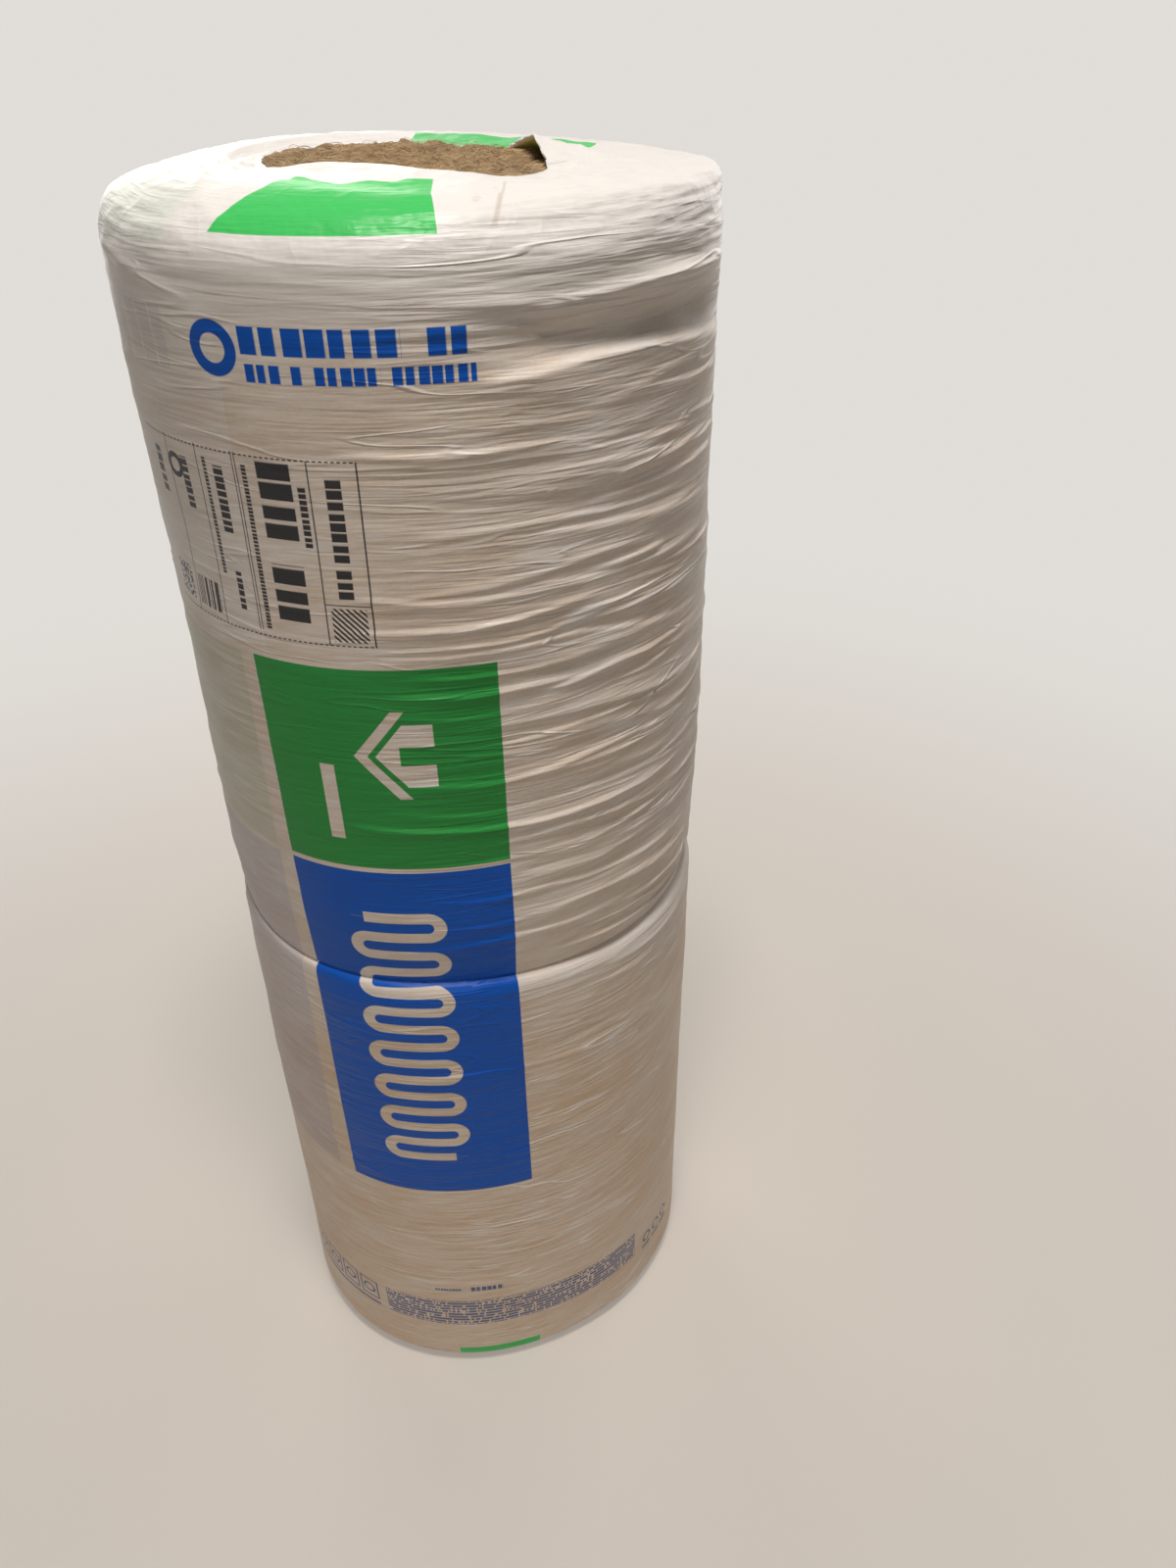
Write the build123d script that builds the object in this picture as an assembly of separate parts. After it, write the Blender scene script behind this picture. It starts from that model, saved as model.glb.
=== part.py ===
from build123d import *
import os
from math import cos, pi, radians, sin

# A wrapped pack of mineral wool insulation, standing on its end. Two rolled wool mats stand
# one on the other inside one sleeve of printed film. The film is folded in over both ends
# and leaves a ragged opening there, and it is drawn in between the two mats.
# Millimetres. The origin is on the floor under the pack's axis, and +Z is up.

# Rolled wool mats
mat_width = 580.0            # height of one roll
mat_length = 4600.0          # length of one mat, unrolled
roll_diameter = 428.0        # one roll, wound tight and pressed by the film
end_gap = 0.3                # between the two rolls, and between a roll and the film's end

# The rolls' edges, as reach across the end and drop along the side
top_edge = (50.0, 32.0)
meeting_edge = (12.0, 30.0)
bottom_edge = (24.0, 24.0)

# Groove between one turn and the next, where the film leaves the end of a roll bare
groove_width = 9.0
groove_depth = 8.0
eye_radius = 9.0             # the closed eye in the middle of a roll
eye_depth = 16.0

# Film sleeve
film_thickness = 1.0         # film with the air it traps
film_clearance = 0.3         # between the wool and the film
end_fold_thickness = 3.0     # several folded layers of film over each end
crease_depth = 7.0           # where the film is drawn in between the two rolls
crease_half_height = 17.0
overlap_step = 0.6           # second layer, where the film's outer end laps over
overlap_edge_angle = -163.0  # where that outer end lies, from +X and anticlockwise
overlap_span = 37.0
lap_margin = 8.0             # how far short of the pack's rounded edges the lap stops

# Opening in the film's top end, and the fold of film that stands up at its right side
top_opening = [(-103, -20), (-95, 36), (-59, 76), (-11, 90), (38, 66), (67, 28), (80, -46),
               (86, -94), (64, -114), (28, -95), (-18, -67), (-56, -53), (-88, -57)]
top_opening_reach = 130.0    # no point of it lies farther from the axis
bottom_opening_radius = 92.0
raised_fold_rise = 18.0      # height of its mouth above the film's end
raised_fold_width = 120.0    # width of its mouth
raised_fold_length = 91.0    # from the mouth out to where it lies flat
raised_fold_mouth = (70.0, -30.0)
raised_fold_heading = 10.6   # which way it runs out from its mouth, from +X

# What follows from them
roll_radius = roll_diameter / 2
turn_pitch = pi * roll_radius**2 / mat_length
lower_bottom = end_fold_thickness + end_gap
lower_top = lower_bottom + mat_width
upper_bottom = lower_top + end_gap
upper_top = upper_bottom + mat_width
crease_height = (lower_top + upper_bottom) / 2
pack_height = upper_top + end_gap + end_fold_thickness
film_inner_radius = roll_radius + film_clearance
film_outer_radius = film_inner_radius + film_thickness
cut_overrun = 2.0
tight_arc_angle = 60.0       # how far a rounded edge turns before it slackens
covered_flats = 2            # flats that a covered edge is pressed into
standing_flats = 4           # flats in the film's edge that the pack stands on


def rounded_edge(radius, end, edge, up):
    """A rounded edge from side to end face, as a tight arc that runs on into a slack one."""
    reach, drop = edge
    tight_share = sin(radians(tight_arc_angle))
    tight = (drop - 2 * reach * (1 - tight_share)) / (2 * tight_share - 1)
    slack = 2 * reach - tight
    away = 1 if up else -1
    side_end = (radius, end - away * drop)
    first = JernArc(side_end, (0, away), tight, away * tight_arc_angle)
    second = JernArc(first @ 1, first % 1, slack, away * (90 - tight_arc_angle))
    return first + second


def turned(outline, start_angle=0, turn=360):
    """Solid of revolution about the pack's axis, from an outline of (radius, height)."""
    section = Plane.XZ * make_face(outline)
    return Rot(0, 0, start_angle) * revolve(section, Axis.Z, turn)


def edge_in_flats(radius, end, edge, up, flats):
    """An edge from side to end face, as a few flats round the corner."""
    reach, drop = edge
    away = 1 if up else -1
    angles = [radians(90 * flat / flats) for flat in range(flats + 1)]
    return Polyline(*[(radius - reach * (1 - cos(a)), end - away * drop * (1 - sin(a)))
                      for a in angles])


def pressed_edge(radius, end, edge, up):
    """A covered edge, pressed flat by the film over it."""
    return edge_in_flats(radius, end, edge, up, covered_flats)


def standing_edge(radius, end, edge, up):
    """The film's edge that the pack stands on, pressed by its weight."""
    return edge_in_flats(radius, end, edge, up, standing_flats)


def tapered_edge(radius, end, edge, up):
    """A roll's edge where the film draws it in, as a plain taper."""
    reach, drop = edge
    away = 1 if up else -1
    return Line((radius, end - away * drop), (radius - reach, end))


def roll_section(bottom, top, lower_edge, upper_edge):
    """Half section of one rolled mat, with the maker and the size of each of its edges."""
    make_lower, lower = lower_edge
    make_upper, upper = upper_edge
    side = Line((roll_radius, bottom + lower[1]), (roll_radius, top - upper[1]))
    lid = Polyline((roll_radius - upper[0], top), (0, top), (0, bottom),
                   (roll_radius - lower[0], bottom))
    return (make_lower(roll_radius, bottom, lower, up=False) + side
            + make_upper(roll_radius, top, upper, up=True) + lid)


def turn_groove(centre, radius, end, into, start):
    """Half a turn of the groove between two turns of the mat, as a V round its own centre."""
    half = groove_width / 2
    out = -into * cut_overrun
    points = [(-half, 0), (-half, out), (half, out), (half, 0), (0, into * groove_depth)]
    side = 1 if start == 0 else -1
    section = make_face(Polyline(*[(centre + side * radius + x, 0, end + z) for x, z in points],
                                 close=True))
    return revolve(section, Axis((centre, 0, 0), (0, 0, 1)), 180)


def spiral_grooves(end, into, bare_radius):
    """The mat's turns on a bare end: a spiral made of half circles on two centres."""
    grooves = []
    radius = roll_radius - turn_pitch / 4
    start = 0
    while radius > turn_pitch / 2:
        centre = turn_pitch / 4 if start == 0 else -turn_pitch / 4
        if turn_pitch / 4 + radius < bare_radius:
            grooves.append(turn_groove(centre, radius, end, into, start))
        radius -= turn_pitch / 2
        start = 180 - start
    return grooves


def closed_eye(end, into):
    """The dimple where the mat's inner end is wound on itself."""
    cone = make_face(Polyline((0, end + into * eye_depth), (eye_radius, end),
                              (eye_radius, end - into * cut_overrun),
                              (0, end - into * cut_overrun), close=True))
    return revolve(Plane.XZ * cone, Axis.Z, 360)


def rolled_mat(bottom, top, lower_edge, upper_edge, bare_end, into, bare_radius):
    """One rolled wool mat, with its turns showing on the end that the film leaves bare."""
    roll = turned(roll_section(bottom, top, lower_edge, upper_edge))
    for groove in spiral_grooves(bare_end, into, bare_radius):
        roll -= groove
    return roll - closed_eye(bare_end, into)


def film_side(radius, low, high):
    """The film's side between two heights, drawn in at the crease between the rolls."""
    return Polyline((radius, low), (radius, crease_height - crease_half_height),
                    (radius - crease_depth, crease_height),
                    (radius, crease_height + crease_half_height), (radius, high))


def film_section(radius, bottom, top, make_lower, make_upper):
    """Half section of the space inside one surface of the film."""
    lower_edge = (bottom_edge[0], bottom_edge[1] - bottom)
    upper_edge = (top_edge[0], top - pack_height + top_edge[1])
    lid = Polyline((radius - upper_edge[0], top), (0, top), (0, bottom),
                   (radius - lower_edge[0], bottom))
    return (make_lower(radius, bottom, lower_edge, up=False)
            + film_side(radius, bottom_edge[1], pack_height - top_edge[1])
            + make_upper(radius, top, upper_edge, up=True) + lid)


def lap_section():
    """Section of the film's second layer, along the pack's side."""
    low = bottom_edge[1] + lap_margin
    high = pack_height - top_edge[1] - lap_margin
    inner = film_outer_radius - film_thickness / 2
    outer = film_outer_radius + overlap_step
    return (film_side(outer, low, high) + Line((outer, high), (inner, high))
            + film_side(inner, low, high) + Line((inner, low), (outer, low)))


def raised_fold_cone(shrink):
    """The tapered fold that stands up at the opening's right side, as a cone laid down."""
    half_width = raised_fold_width / 2
    mouth_radius = (half_width**2 + raised_fold_rise**2) / (2 * raised_fold_rise)
    tip_radius = mouth_radius - raised_fold_rise
    cone = Cone(mouth_radius - shrink, tip_radius - shrink, raised_fold_length,
                align=(Align.CENTER, Align.CENTER, Align.MIN))
    mouth = Pos(*raised_fold_mouth, pack_height - tip_radius)
    return mouth * Rot(0, 0, raised_fold_heading) * Rot(0, 90, 0) * cone


def film_sleeve():
    """The whole film: a thin turned shell with its openings, lap and raised fold."""
    outside = turned(film_section(film_outer_radius, 0, pack_height,
                                  standing_edge, rounded_edge))
    lap = turned(lap_section(), overlap_edge_angle, overlap_span)
    above_end = Pos(0, 0, pack_height - end_fold_thickness) * Box(
        2 * roll_radius, 2 * roll_radius, 2 * raised_fold_rise,
        align=(Align.CENTER, Align.CENTER, Align.MIN))
    fold = raised_fold_cone(0) & above_end
    inside = turned(film_section(film_inner_radius, end_fold_thickness,
                                 pack_height - end_fold_thickness,
                                 pressed_edge, pressed_edge))
    film = outside + fold - inside - raised_fold_cone(film_thickness) + lap
    mouth = extrude(make_face(Spline(*top_opening, periodic=True)), 2 * raised_fold_rise)
    film -= Pos(0, 0, pack_height - end_fold_thickness - cut_overrun) * mouth
    film -= Cylinder(bottom_opening_radius, 2 * (end_fold_thickness + cut_overrun))
    return film


nodes = {
    "film_wrap": film_sleeve(),
    "upper_wool_roll": rolled_mat(
        upper_bottom, upper_top, (tapered_edge, meeting_edge), (pressed_edge, top_edge),
        bare_end=upper_top, into=-1, bare_radius=top_opening_reach),
    "lower_wool_roll": rolled_mat(
        lower_bottom, lower_top, (pressed_edge, bottom_edge), (tapered_edge, meeting_edge),
        bare_end=lower_bottom, into=1, bare_radius=bottom_opening_radius),
}

os.makedirs("parts", exist_ok=True)
for name, solid in nodes.items():
    export_step(solid, f"parts/{name}.step")
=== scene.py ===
import math

import bpy
import numpy as np
from mathutils import Matrix, Vector


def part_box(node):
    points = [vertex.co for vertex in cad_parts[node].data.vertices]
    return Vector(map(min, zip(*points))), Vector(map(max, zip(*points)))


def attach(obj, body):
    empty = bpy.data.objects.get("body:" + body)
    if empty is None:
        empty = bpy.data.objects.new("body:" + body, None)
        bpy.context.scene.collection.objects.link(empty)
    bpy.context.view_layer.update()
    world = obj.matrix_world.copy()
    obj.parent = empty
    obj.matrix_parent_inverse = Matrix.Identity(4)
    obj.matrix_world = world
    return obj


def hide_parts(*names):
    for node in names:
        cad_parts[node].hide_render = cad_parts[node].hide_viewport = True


# A wrapped pack of mineral wool insulation, standing on its end. Two rolled wool mats stand
# one on the other inside one sleeve of printed film, which is folded in over both ends.
# Lengths are in millimetres and angles in degrees, round +Z from +X, until a mesh is made.
# Materials, lamps and the camera count in metres, where nothing else is said.

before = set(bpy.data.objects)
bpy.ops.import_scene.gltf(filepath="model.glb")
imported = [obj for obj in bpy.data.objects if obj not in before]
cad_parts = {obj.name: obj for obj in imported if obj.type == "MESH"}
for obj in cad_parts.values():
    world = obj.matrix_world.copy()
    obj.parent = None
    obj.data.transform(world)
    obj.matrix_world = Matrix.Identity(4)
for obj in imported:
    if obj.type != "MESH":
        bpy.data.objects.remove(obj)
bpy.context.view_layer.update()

MM = 0.001


def in_mm(corners):
    """A node's lowest and highest corner, in millimetres."""
    return [corner / MM for corner in corners]


# Sizes from the frame
film_high = in_mm(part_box("film_wrap"))[1]
upper_low, upper_high = in_mm(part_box("upper_wool_roll"))
lower_low, lower_high = in_mm(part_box("lower_wool_roll"))
film_radius = film_high.y
wool_radius = upper_high.y
pack_height = upper_high.z + lower_low.z
crease_height = (lower_high.z + upper_low.z) / 2

# The pack's rounded edges, as reach across the end and drop along the side. The top one is
# slacker at the left: each value there is a mean, and its change towards +X and towards +Y
top_reach = (50.0, -34.0, 10.0)
top_drop = (41.0, -2.0, -4.0)
end_tilt = (0.0, -5.0, 2.0)
shoulder_length = 56.0         # from the lowest place where the top edge starts to the end
bottom_edge = (24.0, 24.0)

# The crease between the rolls has sagged: how far under mid height, given as the top edge's are
crease_sag = (-8.0, -8.3, 11.0)
crease_ledge = 14.0            # height of the lower roll's rounded upper edge

# How far the pack is out of round, as shares of its radius: two lobes and three lobes
two_lobes = (0.0064, 0.0018)
three_lobes = (0.0174, -0.0131)

# Film coordinates on the end: those of the opening's edge and of what is folded under it
edge_mark = 1300.0
under_mark = 1310.0

# Heights along the film that part the small print, the panels, the label and heading, and the end
print_bounds = (295.0, 876.0, 1130.0)

# Film sheet: where its outer end shows, and how far that laps over the inner one
outer_end = -163.0
lap_angle = 37.0
lap_step = 0.9                 # how far the lap stands out
lap_fade = 55.0                # and over what angle it settles again

# Opening in the top end: (angle of the film that ends there, x, y, lift of its edge)
opening_edge = [
    (-169, -103, -20, 0.5), (-155, -97, -42, 0.2), (-146, -88, -57, 0.8), (-138, -72, -56, 3.0),
    (-128, -56, -53, 3.2), (-115, -36, -60, 2.8), (-105, -18, -67, 2.4), (-92, 4, -80, 1.7),
    (-80, 28, -95, 0.6), (-72, 46, -107, -0.2), (-64, 62, -115, -1.2), (-57, 74, -113, 0.2),
    (-52, 84, -100, 0.8), (-47, 88, -88, 0.4), (22, 66, 30, 0.4), (36, 56, 46, 0.3),
    (52, 40, 65, -0.2), (72, 15, 82, -0.2),
    (95, -11, 90, 0.4), (116, -35, 86, 0.8), (131, -59, 76, 0.7), (147, -79, 58, 0.8),
    (163, -95, 36, 0.5), (178, -103, 6, 0.5)]
bottom_opening_radius = 92.0

# Fold of film that stands up at the opening's right side, like half a tent: its mouth runs
# between two points of the opening's edge, and its ridge falls away outwards
fold_far_end = (66.0, 30.0)
fold_near_end = (88.0, -88.0)
fold_peak = 0.66               # where the ridge meets the mouth, from its far end
fold_rise = 17.0
fold_length = 84.0

# A ridge in the film on the end, round the opening's left and far side
end_ridge = [(-123, -88), (-119, -70), (-114, -30), (-108, 6), (-95, 46), (-79, 73), (-50, 101),
             (-10, 112)]

random = np.random.default_rng(7)
lattice_order = random.permutation(256)
lattice_slopes = random.normal(size=(256, 3))
lattice_slopes /= np.linalg.norm(lattice_slopes, axis=1, keepdims=True)


# Numbers in arrays

def ramp(value, low, high):
    """0 below low, 1 above high, and smooth between them. Low may be the greater."""
    share = np.clip((value - low) / (high - low), 0, 1)
    return share * share * (3 - 2 * share)


def hump(value, low, high, soft):
    """1 between low and high, and 0 beyond soft outside them."""
    return ramp(value, low - soft, low) * ramp(value, high + soft, high)


def bell(value, middle, reach):
    """1 at a middle, fading smoothly to both sides."""
    return np.exp(-((value - middle) / reach)**2)


def noise(x, y, z):
    """Smooth noise, from about -1 to 1."""
    spot = np.stack(np.broadcast_arrays(x, y, z), axis=-1).astype(float)
    cell = np.floor(spot).astype(int)
    part = spot - cell
    fade = part**3 * (part * (part * 6 - 15) + 10)
    total = np.zeros(spot.shape[:-1])
    for corner in np.ndindex(2, 2, 2):
        index = np.zeros(spot.shape[:-1], dtype=int)
        for axis in range(3):
            index = lattice_order[(index + cell[..., axis] + corner[axis]) & 255]
        weight = np.prod(np.where(np.array(corner), fade, 1 - fade), axis=-1)
        total += weight * np.sum((part - corner) * lattice_slopes[index], axis=-1)
    return total * 1.5


def rough(x, y, z, layers):
    """Several layers of noise, each half the size and half the strength of the last."""
    total = 0
    for layer in range(layers):
        scale = 2.0**layer
        total = total + noise(x * scale, y * scale, z * scale + 17 * layer) / scale
    return total


def turned_round(angle):
    """Angle brought to between -180 and 180."""
    return (angle + 180) % 360 - 180


def at_angle(angle, reach):
    """x and y, from an angle round the pack and a reach from its middle."""
    a = np.radians(angle)
    return reach * np.cos(a), reach * np.sin(a)


def seen_from(centre, x, y):
    """Angle and distance of a place, seen from a centre."""
    across = x - centre[0]
    up = y - centre[1]
    return np.degrees(np.arctan2(up, across)), np.hypot(across, up)


def out_of_round(angle):
    """The film's radius at an angle, as a share of its mean radius."""
    a = np.radians(angle)
    return (1 + two_lobes[0] * np.cos(2 * a) + two_lobes[1] * np.sin(2 * a)
            + three_lobes[0] * np.cos(3 * a) + three_lobes[1] * np.sin(3 * a))


def leaning(values, angle):
    """A mean value, changed evenly from one side of the pack to the other."""
    a = np.radians(angle)
    return values[0] + values[1] * np.cos(a) + values[2] * np.sin(a)


# The film's folds, as how far it stands out along its own normal

# Long folds, as (rise, points of (angle, height along the film), reach above, reach below)
long_folds = [
    (7.5, [(-74, 1104), (-60, 1108), (-45, 1112), (-28, 1111), (-12, 1108)], 5, 24),
    (7.0, [(-82, 1062), (-72, 1066), (-60, 1071), (-45, 1070), (-28, 1065), (-12, 1058)], 4, 18),
    (2.4, [(-60, 1051), (-45, 1052), (-30, 1051), (-16, 1049)], 3, 8),
    (2.4, [(-90, 1109), (-78, 1108), (-66, 1107), (-53, 1113), (-40, 1120)], 3, 9),
    (1.7, [(-60, 1147), (-50, 1147), (-39, 1144)], 2.5, 4),
    (2.0, [(-60, 1139), (-50, 1139), (-37, 1136)], 2.5, 4),
    (1.5, [(-34, 1139), (-27, 1136), (-18, 1127)], 2, 3),
    (1.4, [(-29, 1141), (-22, 1147), (-16, 1153)], 2, 3),
    (2.0, [(-121, 1149), (-126, 1160), (-130, 1170), (-136, 1184), (-141, 1200), (-149, 1226)][::-1],
     5, 5),
    (3.0, [(-66, 1042), (-50, 1045), (-30, 1040), (-12, 1036)], 4, 12),
    (2.4, [(-75, 961), (-58, 958), (-33, 950), (-15, 944)], 3, 10),
    (2.0, [(-98, 925), (-78, 931), (-59, 938), (-40, 936)], 3, 8),
    (2.8, [(-104, 878), (-84, 880), (-63, 881), (-43, 866), (-25, 858)], 3, 11),
    (2.6, [(-88, 820), (-60, 817), (-28, 804), (-10, 800)], 3, 10),
    (2.3, [(-86, 773), (-66, 772), (-46, 769), (-25, 772)], 3, 9),
    (2.6, [(-88, 712), (-66, 718), (-47, 709), (-25, 701)], 3, 10),
    (2.4, [(-82, 631), (-60, 638), (-38, 632), (-15, 622)], 3, 11),
    (2.0, [(-80, 676), (-60, 672), (-40, 664), (-15, 655)], 3, 9),
    (2.2, [(-60, 744), (-45, 740), (-25, 731), (-5, 729)], 3, 8),
    (2.0, [(-64, 848), (-45, 843), (-22, 832)], 3, 8),
    (2.6, [(-70, 1003), (-50, 1001), (-28, 992), (-10, 990)], 3, 12),
    (2.8, [(-72, 585), (-52, 583), (-34, 581), (-14, 580)], 2, 7),
    (2.4, [(-64, 600), (-46, 599), (-30, 595), (-12, 592)], 2, 7),
    (2.0, [(-58, 545), (-42, 542), (-26, 545), (-10, 550)], 3, 5),
    (1.6, [(-60, 528), (-48, 526), (-32, 531)], 2, 5),
    (1.7, [(-50, 511), (-38, 511), (-20, 517)], 2, 6),
    (1.5, [(-42, 490), (-30, 492), (-14, 499)], 2, 5),
    (1.1, [(-63, 486), (-50, 464), (-41, 444), (-30, 430)], 3, 6),
    (0.9, [(-152, 352), (-140, 330), (-128, 318), (-110, 306)], 3, 5),
    (0.9, [(-170, 402), (-158, 372), (-140, 341), (-120, 327)], 3, 5),
    (1.8, [(-147, 1141), (-143, 1148), (-137, 1150), (-130, 1151)], 3, 7),
    (1.8, [(-166, 1134), (-152, 1129), (-142, 1123), (-133, 1116)], 3, 8),
]


def fold_line(angle, along, rise, points, above, below):
    """One fold, sharp at its crest, thin above it and wide below, fading at its ends."""
    angles, heights = np.array(points, dtype=float).T
    crest = np.interp(angle, angles, heights)
    share = (angle - angles[0]) / (angles[-1] - angles[0])
    fade = np.where((share > 0) & (share < 1), np.sin(math.pi * np.clip(share, 0, 1)), 0)**0.6
    off = along - crest
    shape = np.where(off > 0, np.exp(-np.abs(off / above)**1.4), np.exp(-np.abs(off / below)))
    return rise * fade * shape


def slackness(angle, along):
    """How much the film wrinkles here, from 0 where it is tight to 1 where it is slack."""
    angle = turned_round(angle)
    right = ramp(angle, -100, -60) * ramp(angle, 178, 120) + 0.3 * ramp(angle, -122, -150)
    upper = hump(along, crease_height + 5, pack_height - 45, 30)
    upper = upper + 0.45 * hump(along, pack_height - 45, pack_height + 50, 30)
    lower = 0.25 * hump(along, 20, crease_height - 50, 30)
    calm_front = 1 - 0.6 * hump(angle, -132, -90, 18) * ramp(along, 900, 1000)
    return (0.12 + 0.88 * right) * (upper + lower) * calm_front


def drifted(angle, along):
    """A place on the film, its height pushed up and down so that wrinkles wander together."""
    x, y = at_angle(angle, film_radius)
    drift = 8 * noise(x / 150, y / 150, along / 160) + 2.5 * noise(x / 60, y / 60, along / 50)
    return x, y, along + drift


def fine_folds(angle, along):
    """Many long level wrinkles, sharper outwards than inwards."""
    x, y, level = drifted(angle, along)
    total = 0
    for length, spacing, height in ((190, 34, 1.4), (120, 18, 0.8), (80, 8, 0.16)):
        wave = noise(x / length + 3, y / length, level / spacing)
        total = total + height * (0.72 - np.abs(wave) * 2.2)
    return total * slackness(angle, along)


def sharp_folds(angle, along):
    """The long folds, and many short ones where the film is slack; the highest one shows."""
    angle = turned_round(angle)
    total = np.zeros(angle.shape)
    for fold in long_folds:
        total = np.maximum(total, fold_line(angle, along, *fold))
    draws = np.random.default_rng(5)
    short_folds = 270
    lower_starts = (40, crease_height - 50)
    upper_starts = (crease_height + 22, pack_height - 34)
    level = drifted(angle, along)[2]
    for _ in range(short_folds):
        middle = draws.uniform(-84, 168)
        span = draws.uniform(20, 84)
        low = draws.random() < 0.28
        start = draws.uniform(*(lower_starts if low else upper_starts))
        lean = draws.normal(1.5, 4)
        points = [(middle - span / 2, start - lean), (middle + span / 2, start + lean)]
        rise = draws.uniform(0.4, 1.5) if low else draws.uniform(1.2, 4.0)
        reaches = (draws.uniform(1.1, 2.2), draws.uniform(4, 13))
        rows = np.abs(along[:, 0] - start) < 50
        calm = start > 1045 and middle < -58
        if rows.any() and not calm:
            near = turned_round(angle[rows] - middle) + middle
            fold = fold_line(near, level[rows], rise, points, *reaches)
            total[rows] = np.maximum(total[rows], fold)
    return total


def crease(angle, along):
    """The film drawn in between the rolls: a taper above, a notch, a rounded ledge below."""
    x, y = at_angle(angle, film_radius)
    waver = 1.2 * noise(x / 70, y / 70, 4.2)
    off = along - (crease_height + leaning(crease_sag, angle) + waver)
    turned = turned_round(angle)
    front = ramp(turned, -130, -95) * ramp(turned, 150, 60)
    right = ramp(turned, -85, -60) * ramp(turned, 30, 0)
    depth = 4.0 + 4.0 * front
    taper = np.clip(1 - off / 75, 0, 1)**1.6
    ledge = 1 - np.sqrt(1 - np.clip(1 + off / crease_ledge, 0, 1)**2)
    notch = (2.2 + 2.6 * right) * bell(off, 0.5, 1.5 + 0.9 * right)
    return -depth * np.where(off > 0, taper, ledge) - notch


def near_side(angle, middle, reach):
    """1 at an angle, fading to both sides of it."""
    return bell(turned_round(angle - middle), 0, reach)


def bulges(angle, along):
    """Slow swells of the wool under the film, and where the top edge is fuller or hollow."""
    x, y = at_angle(angle, film_radius)
    slow = 2.0 * noise(x / 170, y / 170, along / 210) + 0.8 * noise(x / 70, y / 70, along / 60)
    front = ramp(turned_round(angle), -88, -62) * ramp(turned_round(angle), -14, -34)
    under_edge = (2.0 * bell(along, 1124, 14) - 9.0 * bell(along, 1086, 15)) * front
    left = 6.2 * bell(along, 1152, np.where(along < 1152, 16, 27)) * near_side(angle, -173, 18)
    right = 4.4 * bell(along, 1158, 11) * near_side(angle, -8, 14)
    return slow * hump(along, 30, pack_height - 60, 30) + under_edge + left + right


def shoulder_folds(angle, along):
    """Soft gathers that run up over the top edge, and sharp ones that follow it."""
    near = hump(along, pack_height - 42, pack_height + 40, 22)
    back = ramp(np.abs(turned_round(angle + 100)), 26, 55)
    gather = noise(*at_angle(angle, 15), along / 80)
    drift = 5 * noise(*at_angle(angle, 5), 2.2)
    rim = 0.7 - 2.2 * np.abs(noise(*at_angle(angle, 3.5), (along + drift) / 10))
    return near * (0.12 + 0.88 * back) * (0.7 * gather + 0.9 * rim)


def side_relief(angle, along):
    """How far the film's side stands out from a plain round one; it is tight at the right."""
    slack = 1 - 0.75 * near_side(angle, -6, 22)
    total = bulges(angle, along) + crease(angle, along) + shoulder_folds(angle, along)
    return total + slack * (fine_folds(angle, along) + sharp_folds(angle, along))


# Film mesh

def column_angles():
    """Angles of the film's columns, from its outer end round to the inner end under it."""
    front = np.linspace(outer_end, -8, 102, endpoint=False)
    back = np.linspace(-8, outer_end + 360, 88, endpoint=False)
    lap = np.linspace(outer_end + 360, outer_end + 360 + lap_angle, 14)
    return np.concatenate([front, back, lap])


def lap_offset(angle):
    """How far a column stands out, so that the outer end lies over the inner one."""
    return lap_step * ramp(angle, outer_end + lap_angle + lap_fade, outer_end + lap_angle)


def edge_of_opening(angle):
    """Where the film ends on the top, as x, y and lift, for each column."""
    points = np.array(opening_edge, dtype=float)
    points = np.concatenate([points - [360, 0, 0, 0], points, points + [360, 0, 0, 0]])
    spread = np.linspace(-3, 3, 7)[:, None]
    at = turned_round(angle)[None, :] + spread
    return [np.mean(np.interp(at, points[:, 0], points[:, column]), axis=0)
            for column in (1, 2, 3)]


def tent_height(x, y):
    """Height of the raised fold over the film's end."""
    far = np.array(fold_far_end)
    mouth = np.array(fold_near_end) - far
    width = np.hypot(*mouth)
    along = mouth / width
    across = (x - far[0]) * along[0] + (y - far[1]) * along[1]
    away = -(x - far[0]) * along[1] + (y - far[1]) * along[0]
    left = np.clip(1 - away / fold_length, 0, 1)
    share = (across / width - fold_peak) / np.maximum(left, 0.02) + fold_peak
    far_side = np.clip(share / fold_peak, 0, 1)
    near_side = np.clip((1 - share) / (1 - fold_peak), 0, 1)**0.7
    return fold_rise * left**1.3 * np.minimum(far_side, near_side) * ramp(away, -6, -1)


def top_relief(x, y):
    """Creases and slack of the film that lies on the wool, and a ridge round the opening."""
    soft = 1.2 * noise(x / 60, y / 60, 2.5) + 0.8 * noise(x / 24, y / 24, 7.5)
    crinkle = 1.5 * (0.5 - np.abs(noise(x / 34, y / 34, 12.5)) * 2)
    crinkle = crinkle + 0.6 * (0.5 - np.abs(noise(x / 14, y / 14, 4.5)) * 2)
    off = np.full(np.broadcast(x, y).shape, 99.0)
    for start, end in zip(end_ridge[:-1], end_ridge[1:]):
        step = np.subtract(end, start)
        share = ((x - start[0]) * step[0] + (y - start[1]) * step[1]) / np.dot(step, step)
        share = np.clip(share, 0, 1)
        off = np.minimum(off, np.hypot(x - start[0] - share * step[0],
                                       y - start[1] - share * step[1]))
    return np.maximum(soft + crinkle + 2.8 * np.exp(-(off / 4.5)**1.5), -1.6)


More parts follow.
